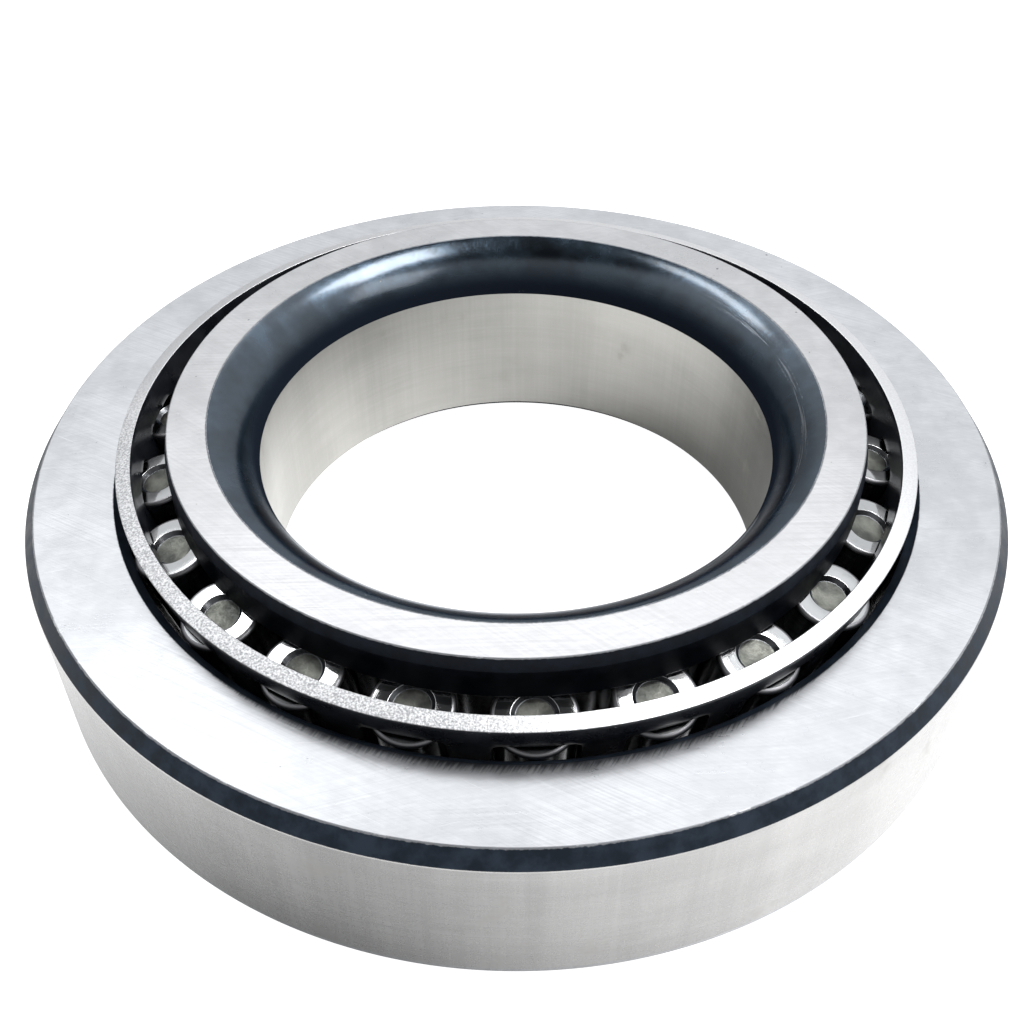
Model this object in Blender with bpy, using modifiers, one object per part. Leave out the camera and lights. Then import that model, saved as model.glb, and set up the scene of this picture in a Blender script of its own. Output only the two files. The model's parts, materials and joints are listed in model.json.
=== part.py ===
"""Single-row tapered roller bearing, 45 mm bore, 85 mm outside diameter, 20.75 mm wide.

The bearing lies on the cup's back face. +Z is its axis and points to the rollers' large ends,
and the origin is on the axis, level with the cup's back face. Lengths are in metres.
The pieces are the cup (outer_ring), the cone (inner_ring), the pressed cage and 22 rollers.
All cones of a tapered bearing share one apex on the axis, and the raceways are worked out from it.
"""

import math

import bmesh
import bpy
from mathutils import Matrix, Vector

# Driving dimensions: the rollers and the cone that their axes lie on
ROLLER_COUNT = 22
FIRST_ROLLER = math.radians(-87.5)
ROLLER_LENGTH = 0.0135
ROLLER_RADIUS = 0.00325
ROLLER_EDGE = 0.00035
ROLLER_TILT = math.radians(12.5)
PITCH_RADIUS = 0.03113
PITCH_HEIGHT = 0.0163
DIMPLE_MOUTH_RADIUS = 0.00175
DIMPLE_FLOOR_RADIUS = 0.00145
DIMPLE_DEPTH = 0.00035

# Driving dimensions: the cup
CUP_RADIUS = 0.0425
CUP_WIDTH = 0.01575
CUP_FRONT_CHAMFER = (0.001, 0.0014)
CUP_BACK_CORNER = 0.0015
CUP_MOUTH_CHAMFER = (0.00074, 0.0006)
CUP_BACK_CHAMFER = 0.0005

# Driving dimensions: the cone
BEARING_WIDTH = 0.02075
CONE_WIDTH = 0.019
BORE_RADIUS = 0.0225
BORE_CORNER = (0.0039, 0.00435)
BORE_CORNER_ROUND = 0.0062
BORE_CHAMFER = 0.0008
RIB_RADIUS = 0.03
RIB_CHAMFER = (0.0003, 0.0012)
RIB_LOWER_CHAMFER = 0.0003
SMALL_RIB_RADIUS = 0.0263
SMALL_RIB_TOP = 0.0033
SMALL_RIB_CHAMFER = 0.0003
RELIEF_WIDTH = 0.0004
RELIEF_DEPTH = 0.0002

# Driving dimensions: the cage
CAGE_TOP = 0.0184
CAGE_TOP_RADIUS = 0.0343
CAGE_THICKNESS = 0.00134
CAGE_FLANGE_RADIUS = 0.0271
CAGE_FLANGE_DROP = 0.00075
CAGE_BEND = 0.0009
BEND_MIDDLE = 1 - math.sqrt(0.5)
WINDOW_WIDTHS = (0.006, 0.0064)
WINDOW_END_GAP = 0.00035
WINDOW_CORNER = 0.0007
WINDOW_REACH = 0.0045

# Running clearance between a roller and each ring
RACE_GAP = 0.00007
RIB_GAP = 0.0001

# Steps round each turned piece
RING_STEPS = 72
CAGE_STEPS = 4 * ROLLER_COUNT
ROLLER_STEPS = 18
ARC_STEPS = 4

# Worked out: the shared apex lies below the bearing, and every cone opens upwards from it
APEX_DEPTH = PITCH_RADIUS / math.tan(ROLLER_TILT) - PITCH_HEIGHT
APEX_DISTANCE = PITCH_RADIUS / math.sin(ROLLER_TILT)
ROLLER_TAPER = math.atan(ROLLER_RADIUS / APEX_DISTANCE)
CUP_ANGLE = ROLLER_TILT + ROLLER_TAPER
CONE_ANGLE = ROLLER_TILT - ROLLER_TAPER
CONE_FRONT = BEARING_WIDTH - CONE_WIDTH


def clear_scene():
    for old in list(bpy.data.objects):
        bpy.data.objects.remove(old, do_unlink=True)


def collection(name):
    made = bpy.data.collections.new(name)
    bpy.context.scene.collection.children.link(made)
    return made


def metal(name, colour, roughness):
    made = bpy.data.materials.new(name)
    made.use_nodes = True
    surface = made.node_tree.nodes["Principled BSDF"]
    surface.inputs["Base Color"].default_value = (*colour, 1)
    surface.inputs["Metallic"].default_value = 1
    surface.inputs["Roughness"].default_value = roughness
    return made


def arc(centre, radius, start, end):
    """Points (radius, height) along an arc, from start to end degrees."""
    angles = [math.radians(start + (end - start) * step / ARC_STEPS) for step in range(ARC_STEPS + 1)]
    return [
        (centre[0] + radius * math.cos(angle), centre[1] + radius * math.sin(angle))
        for angle in angles
    ]


def arc_between(start, end, radius):
    """Points along an arc of a radius, bulging to the left on the way from start to end."""
    chord = Vector(end) - Vector(start)
    right = Vector((chord.y, -chord.x)).normalized()
    centre = (Vector(start) + Vector(end)) / 2 + right * math.sqrt(radius ** 2 - (chord.length / 2) ** 2)
    first = math.degrees(math.atan2(start[1] - centre.y, start[0] - centre.x))
    sweep = 2 * math.degrees(math.asin(chord.length / 2 / radius))
    return arc(centre, radius, first, first - sweep)


def outline_mesh(name, points, closed):
    """A profile at +X, which the Screw modifier turns round Z."""
    count = len(points)
    edges = [(here, (here + 1) % count) for here in range(count if closed else count - 1)]
    mesh = bpy.data.meshes.new(name)
    mesh.from_pydata([(radius, 0, height) for radius, height in points], edges, [])
    return mesh


def turned(name, mesh, steps, finish, parts):
    made = bpy.data.objects.new(name, mesh)
    parts.objects.link(made)
    screw = made.modifiers.new("turn", "SCREW")
    screw.axis = "Z"
    screw.steps = steps
    screw.render_steps = steps
    screw.use_smooth_shade = False
    screw.use_merge_vertices = True
    screw.merge_threshold = 0.000001
    if not mesh.materials:
        mesh.materials.append(finish)
    return made


def cup_race(height):
    """Radius of the cup's raceway at a height."""
    return (height + APEX_DEPTH) * math.tan(CUP_ANGLE) + RACE_GAP / math.cos(CUP_ANGLE)


def cone_race(height):
    """Radius of the cone's raceway at a height."""
    return (height + APEX_DEPTH) * math.tan(CONE_ANGLE) - RACE_GAP / math.cos(CONE_ANGLE)


def across_roller(radius, lift):
    """Height, at a radius, of the plane that crosses a roller's axis square, lift above its large end."""
    return PITCH_HEIGHT + lift / math.cos(ROLLER_TILT) + (PITCH_RADIUS - radius) * math.tan(ROLLER_TILT)


def build_outer_ring(parts):
    """The cup: a hardened ring with the outer raceway in its bore."""
    corner = CUP_BACK_CORNER
    race_top = CUP_WIDTH - CUP_MOUTH_CHAMFER[1]
    outline = [
        (CUP_RADIUS - CUP_FRONT_CHAMFER[0], CUP_WIDTH),
        (CUP_RADIUS, CUP_WIDTH - CUP_FRONT_CHAMFER[1]),
        *arc((CUP_RADIUS - corner, corner), corner, 0, -90),
        (cup_race(0) + CUP_BACK_CHAMFER, 0),
        (cup_race(CUP_BACK_CHAMFER), CUP_BACK_CHAMFER),
        (cup_race(race_top), race_top),
        (cup_race(race_top) + CUP_MOUTH_CHAMFER[0], CUP_WIDTH),
    ]
    finish = metal("ground_ring_steel", (0.56, 0.57, 0.58), 0.32)
    turned("outer_ring", outline_mesh("outer_ring", outline, True), RING_STEPS, finish, parts)


def build_inner_ring(parts):
    """The cone: inner raceway, a thick guiding rib at its large end, a low retaining rib at the other."""
    rib_root = across_roller(cone_race(PITCH_HEIGHT), RIB_GAP)
    rib_edge = RIB_RADIUS - RIB_LOWER_CHAMFER
    rib_inner = cone_race(rib_root) + RELIEF_WIDTH
    race_top = rib_root - 2 * RELIEF_WIDTH
    race_bottom = SMALL_RIB_TOP + 2 * RELIEF_WIDTH
    small_rib_low = SMALL_RIB_RADIUS - SMALL_RIB_CHAMFER
    corner_start = (BORE_RADIUS, BEARING_WIDTH - BORE_CORNER[1])
    corner_end = (BORE_RADIUS + BORE_CORNER[0], BEARING_WIDTH)
    outline = [
        (RIB_RADIUS - RIB_CHAMFER[0], BEARING_WIDTH),
        (RIB_RADIUS, BEARING_WIDTH - RIB_CHAMFER[1]),
        (RIB_RADIUS, across_roller(RIB_RADIUS, RIB_GAP) + RIB_LOWER_CHAMFER),
        (rib_edge, across_roller(rib_edge, RIB_GAP)),
        (rib_inner, across_roller(rib_inner, RIB_GAP)),
        (cone_race(rib_root) - RELIEF_DEPTH, rib_root),
        (cone_race(race_top), race_top),
        (cone_race(race_bottom), race_bottom),
        (cone_race(SMALL_RIB_TOP) - RELIEF_DEPTH, SMALL_RIB_TOP + RELIEF_DEPTH),
        (cone_race(SMALL_RIB_TOP) + RELIEF_WIDTH, SMALL_RIB_TOP),
        (small_rib_low, SMALL_RIB_TOP),
        (SMALL_RIB_RADIUS, SMALL_RIB_TOP - SMALL_RIB_CHAMFER),
        (SMALL_RIB_RADIUS, CONE_FRONT + SMALL_RIB_CHAMFER),
        (small_rib_low, CONE_FRONT),
        (BORE_RADIUS + BORE_CHAMFER, CONE_FRONT),
        (BORE_RADIUS, CONE_FRONT + BORE_CHAMFER),
        *arc_between(corner_start, corner_end, BORE_CORNER_ROUND),
    ]
    finish = metal("ground_cone_steel", (0.6, 0.61, 0.62), 0.3)
    turned("inner_ring", outline_mesh("inner_ring", outline, True), RING_STEPS, finish, parts)


def roller_frame(number):
    """Where a roller lies: its own +Z is its axis, from the centre of its small end to its large end."""
    turn = FIRST_ROLLER + number * math.tau / ROLLER_COUNT
    tilt = Matrix.Rotation(turn, 4, "Z") @ Matrix.Rotation(ROLLER_TILT, 4, "Y")
    large_end = Vector(
        (PITCH_RADIUS * math.cos(turn), PITCH_RADIUS * math.sin(turn), PITCH_HEIGHT)
    )
    return Matrix.Translation(large_end) @ tilt @ Matrix.Translation((0, 0, -ROLLER_LENGTH))


def roller_radius(along):
    """Radius of a roller at a distance along its axis from the small end."""
    return ROLLER_RADIUS - (ROLLER_LENGTH - along) * math.tan(ROLLER_TAPER)


def build_rollers(parts):
    """Hardened rollers, each a slim cone with a round dimple in its large end."""
    top = ROLLER_LENGTH
    outline = [
        (0, top - DIMPLE_DEPTH),
        (DIMPLE_FLOOR_RADIUS, top - DIMPLE_DEPTH),
        (DIMPLE_MOUTH_RADIUS, top),
        (ROLLER_RADIUS - ROLLER_EDGE, top),
        (roller_radius(top - ROLLER_EDGE), top - ROLLER_EDGE),
        (roller_radius(ROLLER_EDGE), ROLLER_EDGE),
        (roller_radius(0) - ROLLER_EDGE, 0),
        (0, 0),
    ]
    mesh = outline_mesh("roller", outline, False)
    finish = metal("polished_roller_steel", (0.62, 0.63, 0.65), 0.14)
    for number in range(ROLLER_COUNT):
        roller = turned(f"roller_{number + 1:02d}", mesh, ROLLER_STEPS, finish, parts)
        roller.matrix_world = roller_frame(number)


def window_block():
    """A tapered block with rounded corners, as long as one window, standing out from a roller's axis."""
    block = bmesh.new()
    length = ROLLER_LENGTH + 2 * WINDOW_END_GAP
    for corner in bmesh.ops.create_cube(block, size=1)["verts"]:
        outward, aside, share = corner.co.x + 0.5, corner.co.y, corner.co.z + 0.5
        width = WINDOW_WIDTHS[0] + (WINDOW_WIDTHS[1] - WINDOW_WIDTHS[0]) * share
        corner.co = (WINDOW_REACH * outward, width * aside, length * share - WINDOW_END_GAP)
    through = [
        edge for edge in block.edges
        if abs(edge.verts[0].co.x - edge.verts[1].co.x) > WINDOW_REACH / 2
    ]
    bmesh.ops.bevel(block, geom=through, offset=WINDOW_CORNER, segments=2, profile=0.5, affect="EDGES")
    mesh = bpy.data.meshes.new("window_block")
    block.to_mesh(mesh)
    block.free()
    return mesh


def window_cutter(cutters):
    """One block for each roller, which together punch the windows through the cage's wall."""
    block = window_block()
    punches = bmesh.new()
    for number in range(ROLLER_COUNT):
        placed = len(punches.verts)
        punches.from_mesh(block)
        punches.verts.ensure_lookup_table()
        bmesh.ops.transform(punches, matrix=roller_frame(number), verts=punches.verts[placed:])
    mesh = bpy.data.meshes.new("cage_windows")
    punches.to_mesh(mesh)
    punches.free()
    bpy.data.meshes.remove(block)
    cutter = bpy.data.objects.new("cage_windows", mesh)
    cutter.hide_render = True
    cutter.display_type = "WIRE"
    cutters.objects.link(cutter)
    return cutter


def cage_wall(height):
    """Radius of the outside of the cage's wall at a height. The wall runs parallel to the cup's raceway."""
    return CAGE_TOP_RADIUS - (CAGE_TOP - height) * math.tan(CUP_ANGLE)


def build_cage(parts, cutters):
    """The cage: pressed from sheet steel, a punched cone with a flange turned in at its small end."""
    slope = Vector((math.sin(CUP_ANGLE), math.cos(CUP_ANGLE)))
    inward = Vector((-math.cos(CUP_ANGLE), math.sin(CUP_ANGLE)))
    small_end = across_roller(PITCH_RADIUS, -ROLLER_LENGTH) - CAGE_FLANGE_DROP
    inside = Vector((cage_wall(small_end), small_end)) + inward * CAGE_THICKNESS
    outside = inside - (inward + slope) * CAGE_THICKNESS
    reach = (inside.x - CAGE_FLANGE_RADIUS) / math.cos(CUP_ANGLE)
    rim_inside = CAGE_TOP_RADIUS - CAGE_THICKNESS / math.cos(CUP_ANGLE)
    outline = [
        (CAGE_TOP_RADIUS, CAGE_TOP),
        (outside + slope * CAGE_BEND)[:],
        (outside + (slope + inward) * CAGE_BEND * BEND_MIDDLE)[:],
        (outside + inward * CAGE_BEND)[:],
        (inside + inward * reach - slope * CAGE_THICKNESS)[:],
        (inside + inward * reach)[:],
        inside[:],
        (rim_inside, CAGE_TOP),
    ]
    finish = metal("pressed_cage_steel", (0.42, 0.43, 0.45), 0.38)
    cage = turned("cage", outline_mesh("cage", outline, True), CAGE_STEPS, finish, parts)
    punch = cage.modifiers.new("windows", "BOOLEAN")
    punch.operation = "DIFFERENCE"
    punch.solver = "EXACT"
    punch.object = window_cutter(cutters)


def build_bearing():
    clear_scene()
    parts = collection("tapered_roller_bearing")
    cutters = collection("cutters")
    build_outer_ring(parts)
    build_inner_ring(parts)
    build_cage(parts, cutters)
    build_rollers(parts)


build_bearing()
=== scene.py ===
import json
import math

import bmesh
import bpy
from mathutils import Matrix, Vector


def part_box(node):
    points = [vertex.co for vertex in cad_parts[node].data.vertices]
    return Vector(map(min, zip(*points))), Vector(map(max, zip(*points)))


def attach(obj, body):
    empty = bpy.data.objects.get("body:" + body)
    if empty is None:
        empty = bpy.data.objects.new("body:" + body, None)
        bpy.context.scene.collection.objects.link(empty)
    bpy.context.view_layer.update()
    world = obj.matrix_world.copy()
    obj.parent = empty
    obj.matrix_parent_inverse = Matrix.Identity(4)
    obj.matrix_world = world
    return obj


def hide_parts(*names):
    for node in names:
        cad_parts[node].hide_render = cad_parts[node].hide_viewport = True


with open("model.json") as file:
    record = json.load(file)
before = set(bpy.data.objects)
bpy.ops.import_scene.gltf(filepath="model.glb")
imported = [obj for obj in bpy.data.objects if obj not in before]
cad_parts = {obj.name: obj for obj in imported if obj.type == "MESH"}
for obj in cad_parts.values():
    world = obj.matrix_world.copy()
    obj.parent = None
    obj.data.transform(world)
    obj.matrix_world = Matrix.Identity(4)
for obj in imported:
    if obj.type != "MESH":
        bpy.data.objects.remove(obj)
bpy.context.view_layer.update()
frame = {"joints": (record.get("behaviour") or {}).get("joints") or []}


# ---- Cup -------------------------------------------------------------------------------------
# The outer ring, of through-hardened bearing steel. It is turned and blued in heat treatment, then its
# faces and outside are ground bright, which leaves the blue-black scale only on its narrow corners.

MM = 0.001
CUP_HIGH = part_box("outer_ring")[1]
CUP_RADIUS = CUP_HIGH.x
CUP_WIDTH = CUP_HIGH.z
CUP_FACE_RADIUS = CUP_RADIUS - 1.0 * MM
CUP_SIDE_TOP = CUP_WIDTH - 1.4 * MM
CUP_BACK_CORNER = 1.5 * MM
CUP_MOUTH_RADIUS = 34.95 * MM
CUP_RACE_TOP = (34.24 * MM, CUP_WIDTH - 0.6 * MM)
CUP_RACE_BOTTOM = (30.62 * MM, 0.5 * MM)
CUP_RACE_CHAMFER = 0.35 * MM
EDGE_BREAK = 0.1 * MM
FACE_EDGE = 0.12 * MM
SIDE_EDGE = 0.25 * MM
RING_STEPS = 384
CORNER_STEPS = 4
CORNER_SPAN = math.radians(45)
SAME_POINT = 1e-7


def round_corners(corners, closed=True):
    """Points (radius, height, finish) along an outline, with an arc of the given size at each corner.

    A corner is (radius, height, size of its rounding, finish of the run that follows it)."""
    points = []
    last = len(corners) - 1
    for place, (radius, height, size, finish) in enumerate(corners):
        if size == 0 or (not closed and place in (0, last)):
            points.append((radius, height, finish))
            continue
        here = Vector((radius, height))
        before = (Vector(corners[place - 1][:2]) - here).normalized()
        after = (Vector(corners[(place + 1) % len(corners)][:2]) - here).normalized()
        half = before.angle(after) / 2
        centre = here + (before + after).normalized() * size / math.sin(half)
        start = here + before * size / math.tan(half) - centre
        end = here + after * size / math.tan(half) - centre
        steps = max(2, round(CORNER_STEPS * (math.pi - 2 * half) / CORNER_SPAN))
        sweep = math.atan2(start.x * end.y - start.y * end.x, start.dot(end))
        for step in range(steps + 1):
            turn = sweep * step / steps
            across = start.x * math.cos(turn) - start.y * math.sin(turn)
            up = start.x * math.sin(turn) + start.y * math.cos(turn)
            points.append((centre.x + across, centre.y + up, finish))
    return points


def turn_on_lathe(name, corners, finishes, steps=RING_STEPS, closed=True):
    """A mesh turned round Z from an outline that runs down its outer side, with a finish for each run."""
    outline = round_corners(corners, closed)
    solid = bmesh.new()
    rows = []
    for step in range(steps):
        turn = math.tau * step / steps
        rows.append([
            solid.verts.new((radius * math.cos(turn), radius * math.sin(turn), height))
            for radius, height, _ in outline
        ])
    runs = len(outline) if closed else len(outline) - 1
    for step, here in enumerate(rows):
        there = rows[(step + 1) % steps]
        for run in range(runs):
            after = (run + 1) % len(outline)
            face = solid.faces.new((here[run], here[after], there[after], there[run]))
            face.material_index = outline[run][2]
            face.smooth = True
    bmesh.ops.remove_doubles(solid, verts=solid.verts, dist=SAME_POINT)
    mesh = bpy.data.meshes.new(name)
    solid.to_mesh(mesh)
    solid.free()
    for finish in finishes:
        mesh.materials.append(finish)
    return mesh


def set_out(name, mesh):
    """The piece made from a mesh, shaded so that its broad faces stay flat up to their corners."""
    piece = bpy.data.objects.new(name, mesh)
    bpy.context.scene.collection.objects.link(piece)
    flats = piece.modifiers.new("flat_faces", "WEIGHTED_NORMAL")
    flats.keep_sharp = True
    return piece


def feed(tree, value, socket):
    """Links a value to a socket, or sets it there where it is the same all over."""
    if isinstance(value, bpy.types.NodeSocket):
        tree.links.new(value, socket)
    else:
        socket.default_value = value


def node(tree, kind, sockets=(), **settings):
    """One shader node. sockets holds a value or a link for each input, by its name or number."""
    made = tree.nodes.new("ShaderNode" + kind)
    for setting, value in settings.items():
        setattr(made, setting, value)
    for socket, value in dict(sockets).items():
        feed(tree, value, made.inputs[socket])
    return made


def maths(tree, operation, *values):
    """One sum on values that change over the surface."""
    return node(tree, "Math", enumerate(values), operation=operation).outputs[0]


def average(tree, one, other):
    """Halfway between two values."""
    return maths(tree, "ADD", maths(tree, "MULTIPLY", one, 0.5), maths(tree, "MULTIPLY", other, 0.5))


def blend(tree, share, one, other):
    """One value going over to another."""
    return node(tree, "Mix", {0: share, 2: one, 3: other}).outputs[0]


def scaled(tree, position, across, along, up):
    """A position with each of its three directions scaled by its own value."""
    by = node(tree, "CombineXYZ", {"X": across, "Y": along, "Z": up}).outputs[0]
    return node(tree, "VectorMath", {0: position, 1: by}, operation="MULTIPLY").outputs[0]


def cloud(tree, position, scale, detail=2.0, rough=0.5):
    """Noise from 0 to 1, with scale features to a metre."""
    sockets = {"Vector": position, "Scale": scale, "Detail": detail, "Roughness": rough}
    return node(tree, "TexNoise", sockets).outputs["Fac"]


def ease(tree, value, low, high, to_low=0.0, to_high=1.0):
    """A value taken smoothly from the range low to high onto to_low to to_high, and held there."""
    sockets = {"Value": value, "From Min": low, "From Max": high, "To Min": to_low, "To Max": to_high}
    return node(tree, "MapRange", sockets, interpolation_type="SMOOTHSTEP").outputs["Result"]


def tint(tree, share, one, other):
    """One colour going over to another."""
    return node(tree, "Mix", {0: share, 6: one, 7: other}, data_type="RGBA").outputs[2]


def darker(colour, share):
    """The same colour, with only a share of its light."""
    return tuple(share * part for part in colour[:3]) + (1,)


def group_of(name, inputs, outputs):
    """An empty shader group with named sockets, its input node and its output node."""
    tree = bpy.data.node_groups.new(name, "ShaderNodeTree")
    for socket, kind in inputs.items():
        tree.interface.new_socket(socket, in_out="INPUT", socket_type="NodeSocket" + kind)
    for socket in outputs:
        tree.interface.new_socket(socket, in_out="OUTPUT", socket_type="NodeSocketFloat")
    return tree, tree.nodes.new("NodeGroupInput").outputs, tree.nodes.new("NodeGroupOutput").inputs


def from_axis(tree, position):
    """Distance from the bearing's axis, and height."""
    parts = node(tree, "SeparateXYZ", {0: position}).outputs
    flat = scaled(tree, position, 1.0, 1.0, 0.0)
    return node(tree, "VectorMath", {0: flat}, operation="LENGTH").outputs["Value"], parts["Z"]


SCRATCH_STRETCH = 2.2
SCRATCH_FINENESS = 0.9
SCRATCH_EDGE = (0.72, 0.84)


def make_grinding_group():
    """Straight marks of a grinding wheel across a flat: an even grain, and single deeper scratches."""
    tree, given, out = group_of(
        "grinding_marks",
        {"Position": "Vector", "Direction": "Float", "Fineness": "Float", "Length": "Float"},
        ("Grain", "Scratches"),
    )
    turned = node(tree, "VectorRotate", {"Vector": given["Position"], "Angle": given["Direction"]},
                  rotation_type="Z_AXIS").outputs[0]
    run = maths(tree, "DIVIDE", 1.0, given["Length"])
    fine = scaled(tree, turned, run, given["Fineness"], 0.0)
    tree.links.new(cloud(tree, fine, 1.0, detail=3.0, rough=0.6), out["Grain"])
    sparse = scaled(tree, turned, maths(tree, "MULTIPLY", run, SCRATCH_STRETCH),
                    maths(tree, "MULTIPLY", given["Fineness"], SCRATCH_FINENESS), 1.0)
    tree.links.new(ease(tree, cloud(tree, sparse, 1.0, 1.0), *SCRATCH_EDGE), out["Scratches"])
    return tree


LINE_GRAIN = 2500.0
LINE_EDGE = (-0.25, 0.15)
NICK_GRAIN = 420.0
NICK_FADE = 0.1
NICK_EDGE = (0.58, 0.63)


def make_edge_group():
    """Wear where two turned faces meet at a radius and height: a thin bright line, and wider nicks."""
    tree, given, out = group_of(
        "edge_wear",
        {"Position": "Vector", "Radius": "Float", "Height": "Float", "Reach": "Float"},
        ("Line", "Nicks"),
    )
    radius, height = from_axis(tree, given["Position"])
    aside = maths(tree, "SUBTRACT", radius, given["Radius"])
    above = maths(tree, "SUBTRACT", height, given["Height"])
    gap = maths(tree, "SQRT", maths(tree, "ADD", maths(tree, "MULTIPLY", aside, aside),
                                    maths(tree, "MULTIPLY", above, above)))
    share = maths(tree, "DIVIDE", gap, given["Reach"])
    fine = cloud(tree, given["Position"], LINE_GRAIN, detail=3.0, rough=0.6)
    tree.links.new(ease(tree, maths(tree, "SUBTRACT", fine, share), *LINE_EDGE), out["Line"])
    broad = cloud(tree, given["Position"], NICK_GRAIN, detail=4.0, rough=0.62)
    wide = maths(tree, "SUBTRACT", broad, maths(tree, "MULTIPLY", share, NICK_FADE))
    tree.links.new(ease(tree, wide, *NICK_EDGE), out["Nicks"])
    return tree


GRINDING = make_grinding_group()
EDGE_WEAR = make_edge_group()


def place_group(tree, group, **sockets):
    """One of the shared effects, given its own values. Returns what it puts out."""
    made = tree.nodes.new("ShaderNodeGroup")
    made.node_tree = group
    for socket, value in sockets.items():
        feed(tree, value, made.inputs[socket])
    return made.outputs


def new_finish(name, **sockets):
    """A material of bare metal, its surface shader and the piece's own position."""
    made = bpy.data.materials.new(name)
    made.use_nodes = True
    surface = made.node_tree.nodes["Principled BSDF"]
    surface.inputs["Metallic"].default_value = 1
    for socket, value in sockets.items():
        surface.inputs[socket.replace("_", " ")].default_value = value
    place = node(made.node_tree, "TexCoord").outputs["Object"]
    return made, made.node_tree, surface.inputs, place


def relief(tree, surface, height, depth):
    """Fine relief of a surface, from a height of 0 to 1 and its depth in metres."""
    bump = node(tree, "Bump", {"Height": height, "Distance": depth, "Strength": 1.0})
    tree.links.new(bump.outputs[0], surface["Normal"])


# A grain is how many marks lie in a metre. An edge is the two noise levels that an effect begins and ends
# between, with what it gives at each where that is not 0 and 1. A rough is the roughness it gives.
MIDDLE = (0.36, 0.64)
WIDE = (0.3, 0.7)
STROKE_LENGTH = 14 * MM
STROKE_DARK = 0.70
STROKE_SHARE = 0.55
PATCH_GRAIN = 20.0
PATCH_SPREAD = 0.01
PATCH_EDGE = (0.42, 0.58)
PATCH_LEAST = 0.4
CLOUD_GRAINS = (75.0, 480.0)
CLOUD_DARK = 0.84
SCRATCH_COLOUR = (0.88, 0.88, 0.89, 1)
SCRATCH_SHARE = 0.2
GROUND_ROUGH = (0.27, 0.35)
CLOUD_ROUGH = (-0.03, 0.04)
GROUND_SINK = 0.2
GROUND_DEPTH = 0.016 * MM
PIT_GRAIN = 1700.0
PIT_EDGE = (0.80, 0.84)
PIT_SHARE = 0.6
# The dark of the pits, and of the fringe's painted shade.
PIT_AND_SHADE_DARK = (0.035, 0.04, 0.05, 1)

# The fringe is painted shade, the dark gap's shadow and reflection round a flat face's ragged hole, in
# strokes brushed outward, and widest on the near side.
FRINGE_SIDE = (-36 * MM, -25 * MM)
FRINGE_LEAST = 0.1 * MM
HAIR_TURN = math.radians(-62)
HAIR_FINENESS = 5600.0
HAIR_LENGTH = 2.6 * MM
HAIR_REACH = 1.3
HAIR_EDGE = (-0.35, 0.65, 0.0, 0.9)
SOFT_SHADE_EDGE = (0.0, 1.4, 0.22, 0.0)


def inner_fringe(tree, place, inner_edge, fringe):
    """How dark the fringe's painted shade is round a face's inner edge, with hair-fine strokes over a soft
    smear.
    """
    radius, _ = from_axis(tree, place)
    near = node(tree, "SeparateXYZ", {0: place}).outputs["Y"]
    width = ease(tree, near, *FRINGE_SIDE, fringe, FRINGE_LEAST)
    reach = maths(tree, "DIVIDE", maths(tree, "SUBTRACT", radius, inner_edge), width)
    hair = place_group(tree, GRINDING, Position=place, Direction=HAIR_TURN, Fineness=HAIR_FINENESS,
                       Length=HAIR_LENGTH)["Grain"]
    longest = maths(tree, "MULTIPLY", hair, HAIR_REACH)
    strokes = ease(tree, maths(tree, "SUBTRACT", longest, reach), *HAIR_EDGE)
    return maths(tree, "MAXIMUM", strokes, ease(tree, reach, *SOFT_SHADE_EDGE))


def flat_ground(name, steel, directions, inner_edge, fringe, pits=0.0):
    """A face ground flat: crossing grinding marks, clouding, a few pits, and a ragged inner edge darkened
    by a fringe of painted shade.

    Each direction is an angle in degrees, how many marks lie in a metre, and their share of the face."""
    made, tree, surface, place = new_finish(name)
    grain = 0.5
    scratches = 0.0
    for turn, fineness, share in directions:
        marks = place_group(tree, GRINDING, Position=place, Direction=math.radians(turn),
                            Fineness=fineness, Length=STROKE_LENGTH)
        patchy = cloud(tree, place, PATCH_GRAIN + fineness * PATCH_SPREAD)
        patches = ease(tree, patchy, *PATCH_EDGE, share * PATCH_LEAST, share)
        grain = blend(tree, patches, grain, marks["Grain"])
        scratches = maths(tree, "MAXIMUM", marks["Scratches"], scratches)
    broad, fine = CLOUD_GRAINS
    clouding = average(tree, cloud(tree, place, broad), cloud(tree, place, fine, detail=3.0, rough=0.6))
    colour = tint(tree, ease(tree, clouding, *MIDDLE), darker(steel, CLOUD_DARK), steel)
    streak = ease(tree, grain, *MIDDLE, 0.0, STROKE_SHARE)
    colour = tint(tree, streak, colour, darker(steel, STROKE_DARK))
    colour = tint(tree, maths(tree, "MULTIPLY", scratches, SCRATCH_SHARE), colour, SCRATCH_COLOUR)
    low, high = PIT_EDGE
    specks = ease(tree, cloud(tree, place, PIT_GRAIN, 1.0), low - pits, high - pits, 0.0, PIT_SHARE)
    # Pits darken the colour, and so does the fringe, which is painted shade round the inner edge.
    pits_and_shade = maths(tree, "MAXIMUM", inner_fringe(tree, place, inner_edge, fringe), specks)
    tree.links.new(tint(tree, pits_and_shade, colour, PIT_AND_SHADE_DARK), surface["Base Color"])
    rough = maths(tree, "ADD", ease(tree, grain, *WIDE, *GROUND_ROUGH),
                  ease(tree, clouding, *WIDE, *CLOUD_ROUGH))
    tree.links.new(rough, surface["Roughness"])
    sunk = maths(tree, "MULTIPLY", maths(tree, "ADD", scratches, pits_and_shade), GROUND_SINK)
    relief(tree, surface, maths(tree, "SUBTRACT", grain, sunk), GROUND_DEPTH)
    return made


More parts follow.
